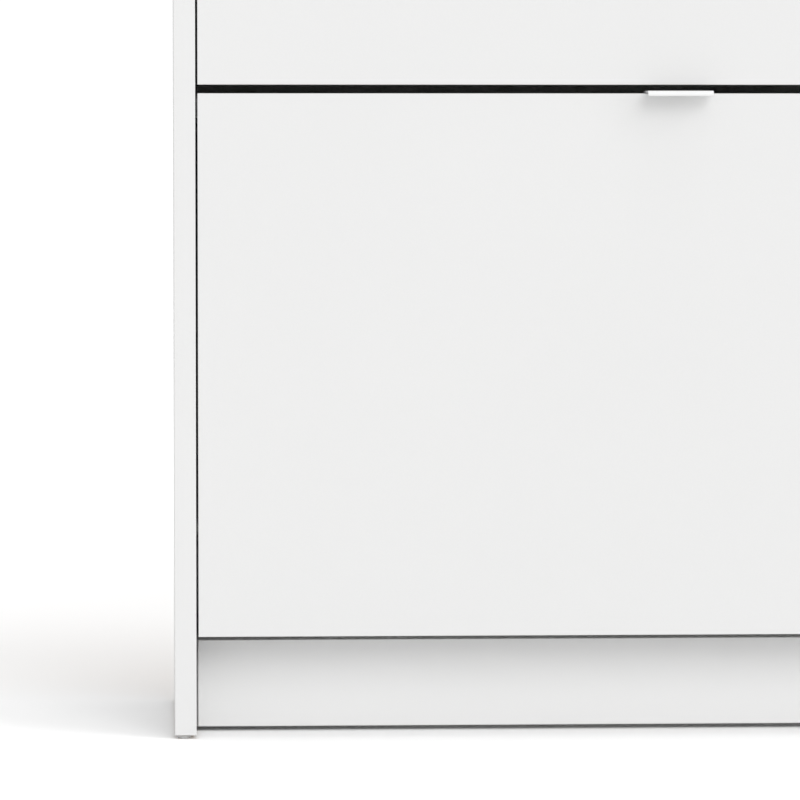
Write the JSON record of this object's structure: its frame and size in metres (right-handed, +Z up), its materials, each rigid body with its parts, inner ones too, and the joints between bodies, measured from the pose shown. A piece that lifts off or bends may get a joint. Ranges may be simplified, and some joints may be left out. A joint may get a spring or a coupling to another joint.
{
  "type": "shoe cabinet",
  "caption": "Slim upright shoe cabinet: white board carcase on a set-back plinth, with tilting doors one above the other, each carrying a two-row shoe rack and a small edge pull.",
  "frame": {"origin": "on the floor, in the middle of the outline, handles included", "axes": "+X to the cabinet's right as seen from the front, +Y to its back (the wall), +Z up; the doors face -Y"},
  "size_m": [0.7, 0.258, 0.8524],
  "materials": {
    "white_melamine": "white melamine foil on particle board, satin, with a plain white edge band",
    "white_hardboard": "3 mm hardboard, white lacquer",
    "white_plastic": "moulded white plastic, fine matt grain",
    "grey_plastic": "moulded light grey plastic",
    "bumper_rubber": "soft translucent rubber",
    "handle_metal": "bent sheet, white powder coat, satin",
    "zinc_steel": "bright zinc plate"
  },
  "bodies": {
    "carcase": {"back_panel": "white_hardboard", "bottom_panel": "white_melamine", "glide_front_left": "grey_plastic", "glide_front_right": "grey_plastic", "glide_rear_left": "grey_plastic", "glide_rear_right": "grey_plastic", "middle_rail": "white_melamine", "pivot_bush_lower_left": "white_plastic", "pivot_bush_lower_right": "white_plastic", "pivot_bush_upper_left": "white_plastic", "pivot_bush_upper_right": "white_plastic", "plinth": "white_melamine", "side_panel_left": "white_melamine", "side_panel_right": "white_melamine", "stop_peg_lower_left": "white_plastic", "stop_peg_lower_right": "white_plastic", "stop_peg_upper_left": "white_plastic", "stop_peg_upper_right": "white_plastic", "top_front_rail": "white_melamine", "top_panel": "white_melamine", "top_rear_rail": "white_melamine", "wall_bracket_left": "zinc_steel", "wall_bracket_right": "zinc_steel", "wall_bracket_screw_left": "zinc_steel", "wall_bracket_screw_right": "zinc_steel"},
    "lower_flap": {"lower_bumper_left": "bumper_rubber", "lower_bumper_right": "bumper_rubber", "lower_door": "white_melamine", "lower_front_divider": "white_hardboard", "lower_front_shelf": "white_hardboard", "lower_handle": "handle_metal", "lower_handle_screw_left": "zinc_steel", "lower_handle_screw_right": "zinc_steel", "lower_rack_screw_high_left": "zinc_steel", "lower_rack_screw_high_right": "zinc_steel", "lower_rack_screw_low_left": "zinc_steel", "lower_rack_screw_low_right": "zinc_steel", "lower_rack_side_left": "white_plastic", "lower_rack_side_right": "white_plastic", "lower_rear_divider": "white_hardboard", "lower_rear_shelf": "white_hardboard"},
    "upper_flap": {"upper_bumper_left": "bumper_rubber", "upper_bumper_right": "bumper_rubber", "upper_door": "white_melamine", "upper_front_divider": "white_hardboard", "upper_front_shelf": "white_hardboard", "upper_handle": "handle_metal", "upper_handle_screw_left": "zinc_steel", "upper_handle_screw_right": "zinc_steel", "upper_rack_screw_high_left": "zinc_steel", "upper_rack_screw_high_right": "zinc_steel", "upper_rack_screw_low_left": "zinc_steel", "upper_rack_screw_low_right": "zinc_steel", "upper_rack_side_left": "white_plastic", "upper_rack_side_right": "white_plastic", "upper_rear_divider": "white_hardboard", "upper_rear_shelf": "white_hardboard"}
  },
  "joints": [
    {"name": "lower_door_tilt", "type": "hinge", "parent": "carcase", "child": "lower_flap", "pos_m": [0, -0.089, 0.1462], "axis": [1, 0, 0], "range_deg": [0, 50]},
    {"name": "upper_door_tilt", "type": "hinge", "parent": "carcase", "child": "upper_flap", "pos_m": [0, -0.089, 0.5293], "axis": [1, 0, 0], "range_deg": [0, 50]}
  ]
}
